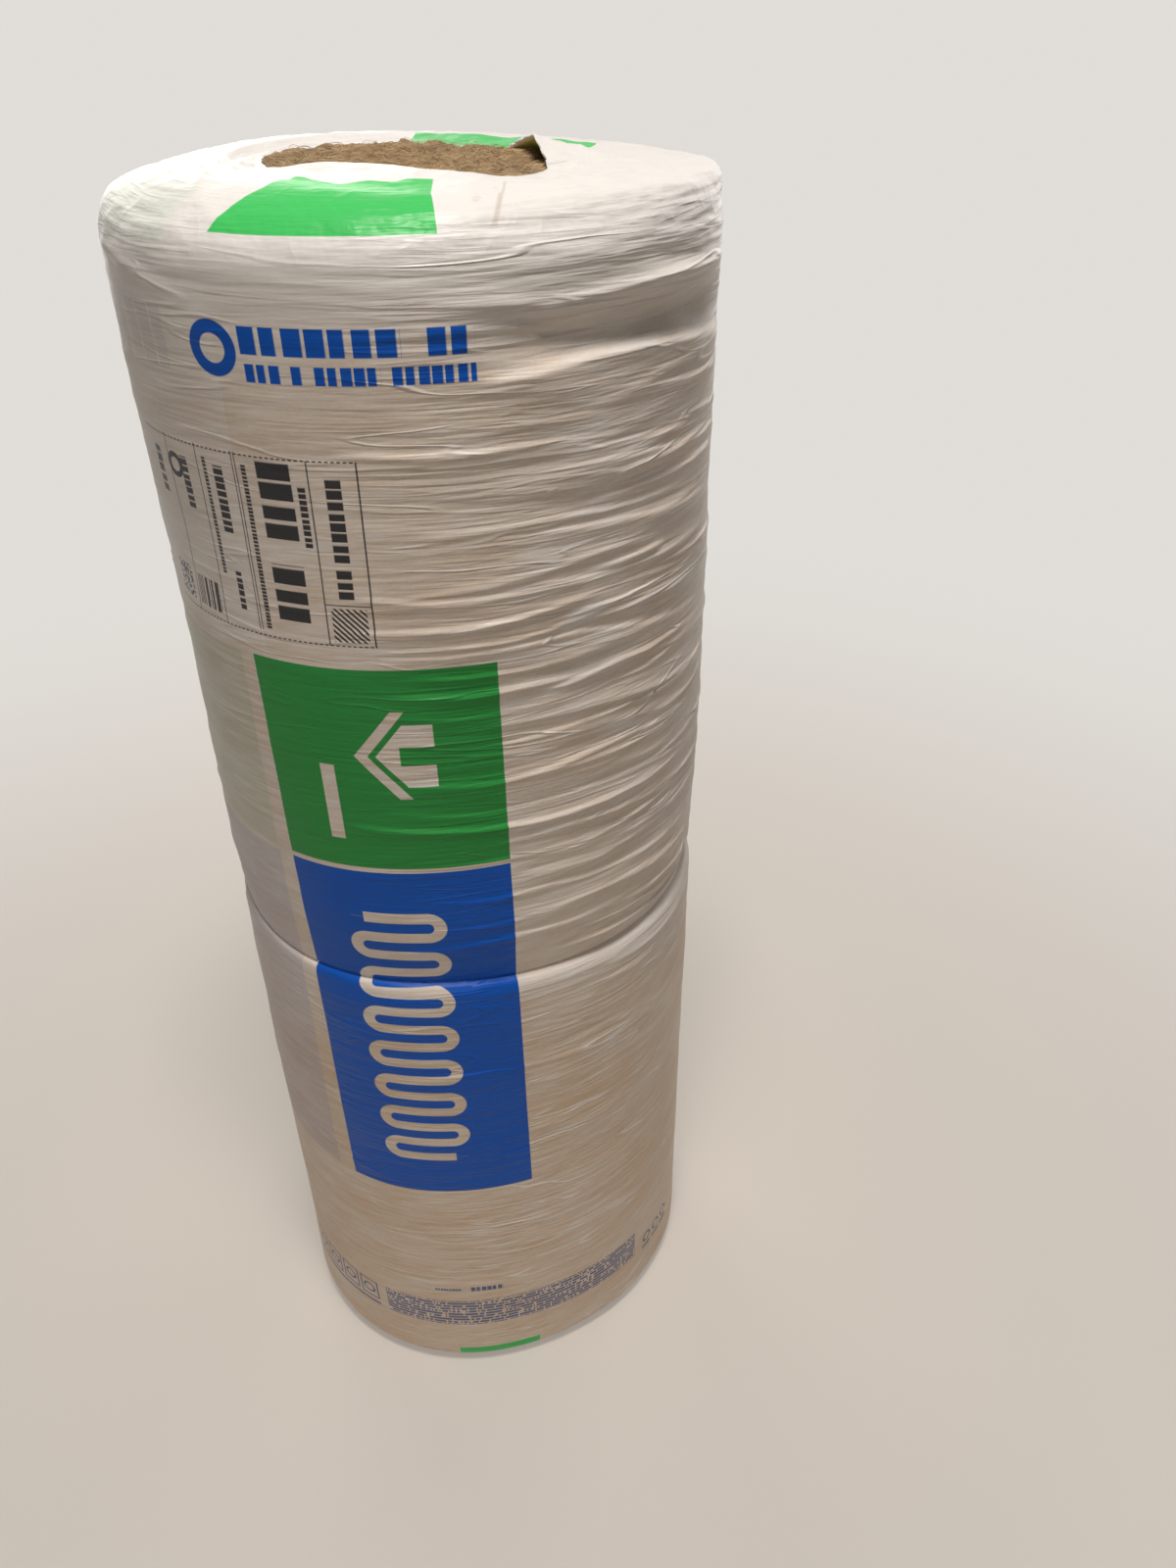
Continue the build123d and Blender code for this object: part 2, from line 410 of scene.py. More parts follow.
def film_rows():
    """Heights of the side's rows, for the lower and the upper half, closer by the crease."""
    low = bottom_edge[1]
    high = pack_height - shoulder_length
    upper = np.concatenate([np.linspace(crease_height, crease_height + 12, 9, endpoint=False),
                            np.linspace(crease_height + 12, high, 370)])
    lower = np.concatenate([np.linspace(low, crease_height - 42, 230, endpoint=False),
                            np.linspace(crease_height - 42, crease_height, 44)])
    return lower, upper


def side_rows(heights, angle):
    """Points and film coordinates of the side, one row for each height."""
    along = np.repeat(heights[:, None], len(angle), axis=1)
    around = np.repeat(angle[None, :], len(heights), axis=0)
    radius = film_radius * out_of_round(around) + side_relief(around, along) + lap_offset(around)
    return (*at_angle(around, radius), along, along)


def shoulder_rows(angle, count):
    """The rounded top edge in even steps: how far in, height, heading and film coordinate."""
    start = pack_height - shoulder_length
    reach = leaning(top_reach, angle)
    drop = leaning(top_drop, angle)
    end = pack_height + leaning(end_tilt, angle)
    turn = np.radians(np.linspace(0, 90, 61))[:, None]
    level = np.zeros((1, len(angle)))
    inward = np.concatenate([level, reach * (1 - np.cos(turn))])
    height = np.concatenate([level + start, end - drop * (1 - np.sin(turn))])
    heading = np.concatenate([level, np.arctan2(np.sin(turn) * reach, np.cos(turn) * drop)])
    steps = np.hypot(np.diff(inward, axis=0), np.diff(height, axis=0))
    length = np.concatenate([level, np.cumsum(steps, axis=0)])
    even = np.linspace(0, 1, count)[1:, None] * length[-1]
    columns = range(len(angle))
    rows = [np.stack([np.interp(even[:, c], length[:, c], part[:, c]) for c in columns], axis=1)
            for part in (inward, height, heading)]
    return (*rows, start + even)


def end_height(share, x, y, lift, tilt):
    """Height of the film that lies on the end, from the rounded edge to the opening."""
    settle = ramp(share, 0, 0.35)
    slack = top_relief(x, y) * ramp(share, 0, 0.3) * (1 - 0.6 * ramp(share, 0.75, 1))
    return (pack_height + tilt * (1 - settle) + slack + lift * share**3
            + tent_height(x, y) * ramp(share, 0, 0.25))


def top_rows(angle):
    """Points of the shoulder, of the film on the end, and of what is folded under its edge."""
    inward, height, heading, along = shoulder_rows(angle, 46)
    around = np.repeat(angle[None, :], len(inward), axis=0)
    relief = side_relief(around, along) + lap_offset(around)
    radius = film_radius * out_of_round(around) - inward + relief * np.cos(heading)
    height = height + relief * np.sin(heading)
    x, y = at_angle(angle, radius)
    edge_x, edge_y, lift = edge_of_opening(angle)
    ragged = 2.4 * noise(angle / 4.6, 0.5, 0.5) + 1.5 * noise(angle / 1.5, 8.5, 0.5)
    out_x, out_y = at_angle(angle, ragged)
    step_x = edge_x + out_x - x[-1]
    step_y = edge_y + out_y - y[-1]
    tilt = height[-1] - pack_height

    def on_end(share):
        """Film on the end, at a share of the way from the rounded edge to the opening."""
        end_x = x[-1] + step_x * share
        end_y = y[-1] + step_y * share
        return end_x, end_y, end_height(share, end_x, end_y, lift, tilt)

    share = np.linspace(0, 1, 44)[1:, None]**0.85
    lying = (*on_end(share), along[-1] + (edge_mark - along[-1]) * share)

    mouth = hump(turned_round(angle), -46, 21, 3)
    reach_under = 3.0 + 50.0 * mouth
    step = np.array([0.02, 0.08, 0.2, 0.4, 0.7, 1.0])[:, None]
    under_x, under_y, under_z = on_end(1 - step * reach_under / np.hypot(step_x, step_y))
    gap = 0.9 + 1.4 * mouth + (0.9 + 2.2 * mouth) * step
    under = (under_x, under_y, under_z - gap, under_mark + step * reach_under)
    return [np.concatenate(part) for part in zip((x, y, height, along), lying, under)]


def bottom_rows(angle):
    """Points of the film folded in under the lower roll, from its opening out to the side."""
    reach, drop = bottom_edge
    turn = np.radians(np.linspace(0, 90, 12))[::-1, None]
    inward = reach * (1 - np.cos(turn))
    down = drop * np.sin(turn)
    around = np.repeat(angle[None, :], len(turn), axis=0)
    relief = side_relief(around, np.full(around.shape, drop)) + lap_offset(around)
    radius = (film_radius - inward) * out_of_round(around) + relief * np.cos(turn)
    height = np.repeat(drop - down, len(angle), axis=1)
    steps = np.hypot(np.diff(inward, axis=0), np.diff(down, axis=0))
    length = np.cumsum(steps[::-1], axis=0)[::-1]

    ragged = 5 * noise(angle / 9, 3.5, 0.5) + 1.5 * noise(angle / 2.1, 5.5, 0.5)
    inner = bottom_opening_radius + ragged
    share = np.linspace(0, 1, 16)[:-1, None]
    ring = inner + (radius[0] - inner) * share
    pleat = 0.9 * np.abs(noise(*at_angle(angle, 14), 3.5))
    ring_height = height[0] + (0.3 + pleat) * (1 - share)

    radius = np.concatenate([ring, radius[:-1]])
    height = np.concatenate([ring_height, height[:-1]])
    path = np.concatenate([length[0] + film_radius - reach - ring[:, :1], length])
    along = np.repeat(drop - path, len(angle), axis=1)
    return (*at_angle(angle, radius), np.maximum(height, 0), along)


def grid_faces(rows, columns):
    """Four-sided faces of a grid of points."""
    index = np.arange(rows * columns).reshape(rows, columns)
    corners = [index[:-1, :-1], index[:-1, 1:], index[1:, 1:], index[1:, :-1]]
    return np.stack(corners, axis=-1).reshape(-1, 4)


def in_scene(name, data):
    """An object of the scene, from its mesh, lamp or camera."""
    thing = bpy.data.objects.new(name, data)
    bpy.context.scene.collection.objects.link(thing)
    return thing


def mesh_object(name, points, faces, film_place=None):
    """A smooth mesh from points in millimetres, with a film coordinate for each if given."""
    mesh = bpy.data.meshes.new(name)
    mesh.from_pydata((points * MM).tolist(), [], faces)
    if film_place is not None:
        layer = mesh.uv_layers.new(name="film_place")
        layer.data.foreach_set("uv", film_place[np.ravel(faces)].ravel())
    mesh.shade_smooth()
    mesh.update()
    return in_scene(name, mesh)


def film_half(name, blocks, angle):
    """One half of the film, from its blocks of rows of (x, y, z, height along the film)."""
    x, y, z, along = [np.concatenate(part) for part in zip(*blocks)]
    points = np.stack([x, y, z], axis=-1).reshape(-1, 3)
    around = np.radians(angle + 90) * film_radius
    place = np.stack([np.broadcast_to(around, x.shape), along], axis=-1).reshape(-1, 2) * MM
    faces = grid_faces(*x.shape)
    piece = mesh_object(name, points, faces.tolist(), place)
    level = along.ravel()[faces].mean(axis=1)
    piece.data.polygons.foreach_set("material_index", np.digitize(level, print_bounds))
    return piece


def make_film():
    """The printed film, as the half over each wool roll."""
    angle = column_angles()
    lower, upper = film_rows()
    lower_half = film_half("film_lower", [bottom_rows(angle), side_rows(lower, angle)], angle)
    upper_half = film_half("film_upper", [side_rows(upper, angle), top_rows(angle)], angle)
    return lower_half, upper_half


# Wool

turn_pitch = 31.3
turn_waver = 3.0               # how far each turn is out of round
upper_seed = 20.0
lower_seed = 40.0


def opening_share(x, y):
    """1 well inside the top opening, 0 at its edge and beyond."""
    centre = (-5.0, -25.0)
    points = np.array(opening_edge, dtype=float)
    angles, reaches = seen_from(centre, points[:, 1], points[:, 2])
    order = np.argsort(angles)
    angle, distance = seen_from(centre, x, y)
    edge = np.interp(angle, angles[order], reaches[order], period=360)
    return ramp(edge - distance, -0.5, 3)


def wool_end_height(x, y, seed):
    """Clumps and turns of the mat on one end, as height over the plain end."""
    angle, radius = seen_from((0, 0), x, y)
    turns = (radius + turn_waver * np.sin(3 * np.radians(angle))) / turn_pitch - angle / 360
    off = np.abs(turns - np.round(turns)) * turn_pitch
    groove = -6.0 * np.exp(-(off / 4.2)**1.5) * (0.55 + 0.45 * noise(x / 30, y / 30, seed + 9.5))
    clump = 2.2 * rough(x / 26, y / 26, seed + 3.5, 3)
    pits = -3.0 * ramp(noise(x / 15, y / 15, seed + 6.5), 0.25, 0.7)
    tuft = 0.9 * (1 - 2 * np.abs(noise(x / 6, y / 6, seed + 2.5)))
    fuzz = 0.45 * rough(x / 2.6, y / 2.6, seed + 1.5, 2)
    return groove + clump + pits + tuft + fuzz


def wool_rise(x, y):
    """Where the wool stands higher: by the raised fold, along the far edge, and in a tuft."""
    by_fold = 4.5 * bell(x, 74, 34) * bell(y, -22, 48)
    tuft = 4.0 * bell(x, -6, 9) * bell(y, 80, 7)
    return by_fold + 2.5 * ramp(y, 10, 75) + 2.0 * ramp(x, -55, -90) + tuft


def roll_side(bottom, top, low_edge, high_edge):
    """A roll's side from bottom to top, a little inside the film, as (radius, height)."""
    inside = 7.0
    shape = [(-low_edge[0], bottom), (0, bottom + low_edge[1]),
             (0, top - high_edge[1]), (-high_edge[0], top)]
    return [(wool_radius + reach - inside, height) for reach, height in shape]


def closed_faces(rings, count, upwards):
    """Faces of rings of points, and a fan round each of the two middles that come after them."""
    index = np.arange(rings * count).reshape(rings, count)
    after = np.roll(index, -1, axis=1)
    sides = np.stack([index[:-1], after[:-1], after[1:], index[1:]], axis=-1)
    middle = np.full(count, rings * count)
    fans = np.stack([index[0], after[0], middle, after[-1], index[-1], middle + 1], axis=-1)
    faces = sides.reshape(-1, 4).tolist() + fans.reshape(-1, 3).tolist()
    return faces if upwards else [face[::-1] for face in faces]


def make_wool(name, bottom, top, low_edge, high_edge, open_top, seed):
    """One rolled mat: a fine end where it shows and a plain body that the film covers."""
    angle = np.linspace(-180, 180, 361)[:-1]
    fine_reach = 140.0
    reach = np.linspace(0.4, 1, 112)[:, None] * fine_reach
    reach = np.concatenate([np.linspace(0.5, 0.4 * fine_reach, 34)[:-1, None], reach])
    x, y = at_angle(angle, reach)
    lift = wool_end_height(x, y, seed) * ramp(reach, fine_reach, fine_reach - 8)
    if open_top:
        z = top + 0.4 + (lift + 1.6 + wool_rise(x, y)) * opening_share(x, y)
    else:
        z = bottom - np.minimum(lift, 1.0)
    side = roll_side(bottom, top, low_edge, high_edge)
    body = [(out_of_round(angle) * radius, height)
            for radius, height in (side[::-1] if open_top else side)]
    covered_end = bottom if open_top else top
    body += [(share * wool_radius, covered_end) for share in (0.6, 0.05)]
    rings = [(x, y, z)]
    for radius, height in body:
        ring_x, ring_y = at_angle(angle[None, :], radius)
        rings.append((ring_x, ring_y, np.full(ring_x.shape, height)))
    points = np.stack([np.concatenate(part) for part in zip(*rings)], axis=-1)
    faces = closed_faces(len(points), len(angle), open_top)
    middles = [[0, 0, z[0].mean()], [0, 0, covered_end]]
    return mesh_object(name, np.concatenate([points.reshape(-1, 3), middles]), faces)


def fibre_paths(seed, count):
    """Loose bent strands: x, y, heading, rise and thickness at each step along them."""
    draws = np.random.default_rng(seed)
    steps = 6
    reach = 125 * np.sqrt(draws.random(count))
    at = draws.uniform(0, 2 * math.pi, count)
    heading = (draws.uniform(0, 2 * math.pi, (count, 1))
               + np.arange(steps + 1) / steps * draws.uniform(-1.6, 1.6, (count, 1))
               + draws.uniform(-0.25, 0.25, (count, steps + 1)))
    step = draws.uniform(8, 30, (count, 1)) / steps
    x = (reach * np.cos(at) - 5)[:, None] + np.cumsum(step * np.cos(heading), axis=1)
    y = (reach * np.sin(at) - 12)[:, None] + np.cumsum(step * np.sin(heading), axis=1)
    share = np.linspace(0, 1, steps + 1)
    rise = draws.uniform(0.5, 4.5, (count, 1)) * share * (1 - share) * 2
    thick = draws.uniform(0.14, 0.34, (count, 1)) * (1 - 0.6 * np.abs(2 * share - 1))
    return x, y, heading, rise, thick


def make_fibres(name, end, seed, count, open_top):
    """Loose fibres that lie on an open end, as thin three-sided strands."""
    paths = fibre_paths(seed, count)
    if open_top:
        shown = opening_share(*paths[:2]).min(axis=1) > 0.5
    else:
        shown = np.hypot(*paths[:2]).max(axis=1) < bottom_opening_radius - 8
    x, y, heading, rise, thick = [part[shown] for part in paths]
    height = wool_end_height(x, y, upper_seed if open_top else lower_seed) + rise + 0.5
    if open_top:
        z = end + 2.0 + np.minimum(height, 7.0) + wool_rise(x, y)
    else:
        z = end - np.minimum(height, 2.2)
    turn = 2 * math.pi * np.arange(3) / 3
    points = np.stack([
        x[..., None] - (thick * np.sin(heading))[..., None] * np.cos(turn),
        y[..., None] + (thick * np.cos(heading))[..., None] * np.cos(turn),
        np.maximum(z[..., None] + thick[..., None] * np.sin(turn), 0.1)], axis=-1)
    index = np.arange(points[..., 0].size).reshape(points.shape[:3])
    after = np.roll(index, -1, axis=2)
    faces = np.stack([index[:, :-1], after[:, :-1], after[:, 1:], index[:, 1:]], axis=-1)
    return mesh_object(name, points.reshape(-1, 3), faces.reshape(-1, 4).tolist())


# Materials

class Sums:
    """Makes a tree's nodes, and adds up their values."""

    def __init__(self, tree):
        self.tree = tree
        self.tree.nodes.clear()

    def add(self, kind, inputs=None, **settings):
        """A node with its settings, and its inputs given as values or as other nodes' outputs."""
        node = self.tree.nodes.new(kind)
        for key, value in settings.items():
            setattr(node, key, value)
        for key, value in (inputs or {}).items():
            self.give(node.inputs[key], value)
        return node

    def give(self, socket, value):
        """Sets a socket to a value, or links it to another node's output."""
        if isinstance(value, bpy.types.NodeSocket):
            self.tree.links.new(value, socket)
        else:
            socket.default_value = value

    def maths(self, operation, first, second=0.0, third=0.0, clamp=False):
        """One sum."""
        node = self.add("ShaderNodeMath", {0: first, 1: second, 2: third},
                        operation=operation, use_clamp=clamp)
        return node.outputs[0]

    def plus(self, first, second, clamp=False):
        return self.maths("ADD", first, second, clamp=clamp)

    def minus(self, first, second, clamp=False):
        return self.maths("SUBTRACT", first, second, clamp=clamp)

    def times(self, first, second, clamp=False):
        return self.maths("MULTIPLY", first, second, clamp=clamp)

    def scaled(self, value, factor, shift, clamp=False):
        """A value times a factor, plus a shift."""
        return self.maths("MULTIPLY_ADD", value, factor, shift, clamp)

    def squares(self, first, second):
        """The sum of two squares."""
        return self.scaled(first, first, self.times(second, second))

    def least(self, first, second):
        return self.maths("MINIMUM", first, second)

    def most(self, first, second):
        return self.maths("MAXIMUM", first, second)

    def size_of(self, value):
        """A value without its sign."""
        return self.maths("ABSOLUTE", value)

    def drawn(self, value):
        """A number from 0 to 1, drawn for each whole step of a value."""
        cell = self.add("ShaderNodeTexWhiteNoise", {"W": self.maths("FLOOR", value)},
                        noise_dimensions="1D")
        return cell.outputs["Value"]

    def place_in_mesh(self):
        """Coordinates in metres, in the part's own frame."""
        return self.add("ShaderNodeTexCoord").outputs["Object"]

    def length(self, where):
        """How far a place is from the middle of the pack's foot."""
        return self.add("ShaderNodeVectorMath", {0: where}, operation="LENGTH").outputs["Value"]

    def noise(self, where, scale, detail=3.0, roughness=0.55, distortion=0.0):
        """Noise from 0 to 1."""
        node = self.add("ShaderNodeTexNoise", {"Vector": where, "Scale": scale, "Detail": detail,
                                               "Roughness": roughness, "Distortion": distortion})
        return node.outputs["Fac"]

    def stretched(self, where, scale):
        """Coordinates scaled by a different amount along each axis."""
        node = self.add("ShaderNodeMapping", {"Vector": where, "Scale": scale})
        return node.outputs["Vector"]

    def between(self, value, low, high, to_low=0.0, to_high=1.0):
        """A value brought from one range to another, smooth at both ends."""
        node = self.add("ShaderNodeMapRange", {"Value": value, "From Min": low, "From Max": high,
                                               "To Min": to_low, "To Max": to_high},
                        interpolation_type="SMOOTHSTEP")
        return node.outputs["Result"]

    def over(self, share, under, top):
        """One colour laid over another by a share from 0 to 1, through the node's colours."""
        node = self.add("ShaderNodeMix", {"Factor": share, 6: under, 7: top}, data_type="RGBA")
        return node.outputs[2]

    def bump(self, height, strength, distance, under=None):
        """Fine relief from a height in metres."""
        inputs = {"Height": height, "Strength": strength, "Distance": distance}
        if under is not None:
            inputs["Normal"] = under
        return self.add("ShaderNodeBump", inputs).outputs["Normal"]


class Surface(Sums):
    """A material with one shader."""

    def __init__(self, name):
        self.material = bpy.data.materials.new(name)
        self.material.use_nodes = True
        super().__init__(self.material.node_tree)
        self.output = self.add("ShaderNodeOutputMaterial")
        self.shader = self.add("ShaderNodeBsdfPrincipled")
        self.give(self.output.inputs["Surface"], self.shader.outputs["BSDF"])

    def shade(self, name, value):
        """Gives the shader one of its values."""
        self.give(self.shader.inputs[name], value)


ink_edge = 0.0006              # how softly a printed edge ends, in metres
cut_edge = 1 / 900             # and the edge of a panel that is cut aslant


class Print(Surface):
    """A material with shapes printed at places on the film, as masks from 0 to 1."""

    def __init__(self, name):
        super().__init__(name)
        self.place = self.add("ShaderNodeUVMap", uv_map="film_place").outputs["UV"]
        split = self.add("ShaderNodeSeparateXYZ", {"Vector": self.place})
        self.around = split.outputs["X"]
        self.along = split.outputs["Y"]

    def past(self, value, limit, soft):
        """1 where a value is over a limit."""
        return self.scaled(value, 1 / soft, 0.5 - limit / soft, clamp=True)

    def band(self, value, low, high, soft=ink_edge):
        """1 between low and high, in metres, with edges as sharp as ink."""
        rise = self.past(value, low, soft)
        fall = self.scaled(value, -1 / soft, 0.5 + high / soft, clamp=True)
        return self.least(rise, fall)

    def box(self, left, right, low, high, soft=ink_edge):
        """A filled box. Left and right are angles, low and high heights in millimetres."""
        across = self.band(self.around, around_at(left), around_at(right), soft)
        up = self.band(self.along, low * MM, high * MM, soft)
        return self.least(across, up)

    def joined(self, masks):
        """Everything that any of the masks covers. Each is made only as it is added."""
        total = None
        for mask in masks:
            total = mask if total is None else self.most(total, mask)
        return total

    def blocks(self, value, start, pitch):
        """A row of blocks from a start, all in millimetres, each with its own width."""
        place = self.scaled(value, 1 / (pitch * MM), -start / pitch)
        width = self.between(self.drawn(place), 0.0, 1.0, 0.66, 0.86)
        part = self.maths("FRACT", place)
        return self.scaled(self.minus(width, part), pitch, 0.5, clamp=True)

    def cells(self, width, height):
        """A number from 0 to 1, drawn for each cell of the film, of a size in metres."""
        across = self.maths("FLOOR", self.times(self.around, 1 / width))
        up = self.maths("FLOOR", self.times(self.along, 1 / height))
        cell = self.add("ShaderNodeCombineXYZ", {"X": across, "Y": up}).outputs[0]
        return self.add("ShaderNodeTexWhiteNoise", {"Vector": cell}).outputs["Value"]

    def row_of_blocks(self, left, right, low, high, pitch):
        """Blocks side by side round the film."""
        row = self.blocks(self.around, around_at(left) / MM, pitch)
        return self.least(self.box(left, right, low, high), row)

    def column_of_blocks(self, left, right, low, high, pitch):
        """Blocks one over the other along the film."""
        column = self.blocks(self.along, low, pitch)
        return self.least(self.box(left, right, low, high), column)

    def off(self, angle, height):
        """How far a point is round the film, and along it, from an angle and a height."""
        return (self.minus(self.around, around_at(angle)), self.minus(self.along, height * MM))

    def spot(self, angle, height, reach, rise):
        """A soft spot, fading out to its reach round the film and its rise along it."""
        across = self.scaled(self.around, 1 / (reach * MM), -around_at(angle) / (reach * MM))
        up = self.scaled(self.along, 1 / (rise * MM), -height / rise)
        return self.between(self.squares(across, up), 1.6, 0.1)

    def slant(self, low_angle, low, high_angle, high, width):
        """A straight soft-edged line between two points."""
        run = (around_at(high_angle) - around_at(low_angle)) / ((high - low) * MM)
        across = self.scaled(self.along, -run, self.around)
        start = around_at(low_angle) - run * low * MM
        half = width * MM / 2
        line = self.band(across, start - half, start + half, 0.002)
        return self.least(line, self.band(self.along, low * MM, high * MM, 0.004))

    def ring(self, angle, height, radius, width):
        """A printed ring round a point."""
        distance = self.maths("SQRT", self.squares(*self.off(angle, height)))
        return self.band(distance, (radius - width) * MM, radius * MM)


def around_at(angle):
    """Place round the film, in metres from the middle of its front."""
    return math.radians(angle + 90) * film_radius * MM


# Colours
white_film = (0.82, 0.79, 0.76, 1)
clear_film = (0.62, 0.47, 0.335, 1)
wool_shade = (0.40, 0.28, 0.18, 1)
rubbed_wool = (0.36, 0.25, 0.16, 1)
green_ink = (0.055, 0.54, 0.12, 1)
# The green ink darkened for the side panel, as painted shade of the side
side_green_painted_shade = (0.028, 0.28, 0.055, 1)
faint_green = (0.20, 0.42, 0.22, 1)
# Green of the lining under the raised fold, made lighter as painted light coming through the film
lining_green_and_painted_light = (0.74, 0.82, 0.30, 1)
blue_ink = (0.003, 0.09, 0.48, 1)
faint_blue = (0.25, 0.30, 0.52, 1)
small_blue_ink = (0.10, 0.14, 0.27, 1)
black_ink = (0.035, 0.033, 0.036, 1)
wool_dark = (0.20, 0.125, 0.062, 1)
wool_light = (0.44, 0.305, 0.17, 1)
wool_pale = (0.62, 0.46, 0.27, 1)
# Dark wool colour for random darker streaks, and for the painted shade in the grooves between the
# turns
dark_streak_and_groove_shade = (0.085, 0.055, 0.032, 1)
pale_fibre = (0.60, 0.47, 0.29, 1)
fibre_dark = (0.36, 0.24, 0.12, 1)
fibre_light = (0.68, 0.52, 0.31, 1)
floor_dark = (0.72, 0.64, 0.55, 1)
floor_light = (0.76, 0.68, 0.59, 1)
fill_colour = (1.0, 0.97, 0.94, 1)
pale_ground = (0.75, 0.725, 0.69, 1)


def crest_lines(p, coordinates):
    """Thin level lines where the film stands up off the wool, 1 along their middles."""
    field = p.noise(p.stretched(coordinates, (1, 1, 9)), 4.6, 2.0, 0.45, 0.3)
    off = p.size_of(p.minus(field, 0.5))
    broken = p.between(p.noise(p.stretched(coordinates, (1, 1, 3)), 9.0, 2.0), 0.42, 0.56)
    return p.times(p.between(off, 0.022, 0.0), broken)


def film_colour(p, height, crest):
    """White film, darker down the side: partly wool showing through thin film in soft streaks,
    partly painted shade of the side. Crest lines are lightened there, partly whiter film
    standing off the wool and partly a painted highlight.
    """
    slant = p.add("ShaderNodeMapping", {"Vector": p.place, "Rotation": (0, 0, math.radians(-7))})
    cloud = p.noise(p.stretched(slant.outputs["Vector"], (6, 15, 1)), 1.0, 3.0, 0.55)
    streak = p.noise(p.stretched(slant.outputs["Vector"], (24, 150, 1)), 1.0, 4.0, 0.6)
    grain = p.noise(p.stretched(p.place, (1, 1.6, 1)), 260.0, 4.0, 0.7)
    # Share of the side: below the top edge the film turns darker, partly wool showing through thin
    # film, partly painted shade of the side
    side = p.between(height, pack_height * MM - 0.018, pack_height * MM - 0.105)
    low = p.between(height, 0.60, 0.45, 0.0, 0.28)
    thin = p.plus(p.between(cloud, 0.25, 0.75, 0.30, 0.66), low)
    thin = p.plus(thin, p.between(streak, 0.3, 0.7, -0.15, 0.15))
    thin = p.plus(thin, p.between(grain, 0.3, 0.7, -0.07, 0.07))
    colour = p.over(p.times(thin, side, clamp=True), white_film, clear_film)
    speck = p.times(p.between(grain, 0.62, 0.8), side)
    colour = p.over(p.times(speck, 0.20), colour, wool_shade)
    # Painted highlight: crest lines lightened towards white film, more to the right; partly whiter
    # film standing off the wool
    painted_crest_highlight = p.times(p.times(crest, side), p.between(p.around, -0.10, 0.04, 0.15, 0.6))
    colour = p.over(painted_crest_highlight, colour, white_film)
    return p.over(smudges(p), colour, rubbed_wool)


def smudges(p):
    """Brown marks where wool has rubbed off on the end, and small scuffs up the right side."""
    patchy = p.between(p.noise(p.place, 60.0, 4.0, 0.65), 0.5, 0.75)
    marks = (p.spot(angle, height, 9.0, 4.0)
             for angle, height in ((-74.6, 1200), (-80, 1172), (-68.5, 1216), (-77, 1180)))
    scuffs = p.times(p.box(-84, -56, 610, 760, 0.05),
                     p.between(p.noise(p.stretched(p.place, (1, 2.5, 1)), 70.0, 3.0), 0.62, 0.78))
    on_end = p.times(p.joined(marks), 0.45)
    on_side = p.times(scuffs, 0.55)
    rubbed = p.times(p.plus(on_end, on_side), patchy, clamp=True)
    strand = p.most(p.slant(-73.4, 1176, -70.0, 1236, 1.8),
                    p.slant(-77.2, 1152, -73.3, 1180, 3.6))
    return p.most(rubbed, p.times(strand, 0.38))


def film_material(name, prints):
    """The film, with the prints of one stretch of its height."""
    p = Print(name)
    coordinates = p.place_in_mesh()
    height = p.add("ShaderNodeSeparateXYZ", {"Vector": coordinates}).outputs["Z"]
    crest = crest_lines(p, coordinates)
    colour = film_colour(p, height, crest)
    for mask, ink in prints(p):
        colour = p.over(mask, colour, ink)
    p.shade("Base Color", colour)

    tone = p.noise(coordinates, 9.0, 3.0)
    p.shade("Roughness", p.between(tone, 0.25, 0.75, 0.33, 0.46))
    p.shade("Specular IOR Level", 0.2)
    p.shade("Normal", film_normal(p, coordinates, crest))
    return p.material


# Prints of each stretch of the film, as a mask and an ink for each layer

def end_prints(p):
    """The lower layer's green, the lining by the opening, lightened as painted light coming through
    the film into the fold's shade, and the green panels of the end.
    """
    yield p.times(p.box(-176, -135, 1140, 1184, 0.02), 0.22), faint_green
    # The lining's green is lightened: painted light in the shade of the fold
    yield p.box(-47, 23, under_mark + 2, 1400), lining_green_and_painted_light
    yield far_patch(p), green_ink
    yield top_patch(p), green_ink


def top_prints(p):
    """What shows through of the lower layer's heading, the heading and the label."""
    yield p.times(p.box(-175, -126, 880, 1128), 0.35), white_film
    yield p.times(p.row_of_blocks(-158, -136, 1066, 1104, 17), 0.13), small_blue_ink
    yield p.ring(-126.2, 1084, 17, 8), blue_ink
    yield heading(p), blue_ink
    yield p.joined(label(p)), black_ink


def panel_prints(p):
    """The lower layer's colours, a white band on the ledge under the crease, partly whiter slack
    film and partly a painted highlight, and the two panels, which are a little askew.
    """
    yield p.times(p.box(-175, -133, 695, 871), 0.22), faint_green
    yield p.times(p.box(-175, -133, 300, 690), 0.25), faint_blue
    # Painted highlight on the ledge under the crease, partly whiter slack film there
    yield p.times(p.box(-84, 75, 543, 565, 0.012), 0.5), white_film
    lean = 0.0105
    level = 0.873
    p.around = p.plus(p.around, p.scaled(p.along, lean, -lean * level))
    marks = p.most(house_mark(p, -103.0, 800), p.box(-118.5, -115.5, 722, 790))
    # The green panel is printed in a darker copy of the green ink, as painted shade of the side
    yield p.minus(p.box(-129.6, -81.5, 695.5, 872), marks, clamp=True), side_green_painted_shade
    wave = wave_mark(p, -107.5, 350, 7)
    yield p.minus(p.box(-129.6, -81.5, 298, 691), wave, clamp=True), blue_ink


def low_prints(p):
    """A green bar at the foot, and the small print."""
    yield p.box(-104, -80, 10, 28), green_ink
    yield p.joined(small_print(p)), small_blue_ink


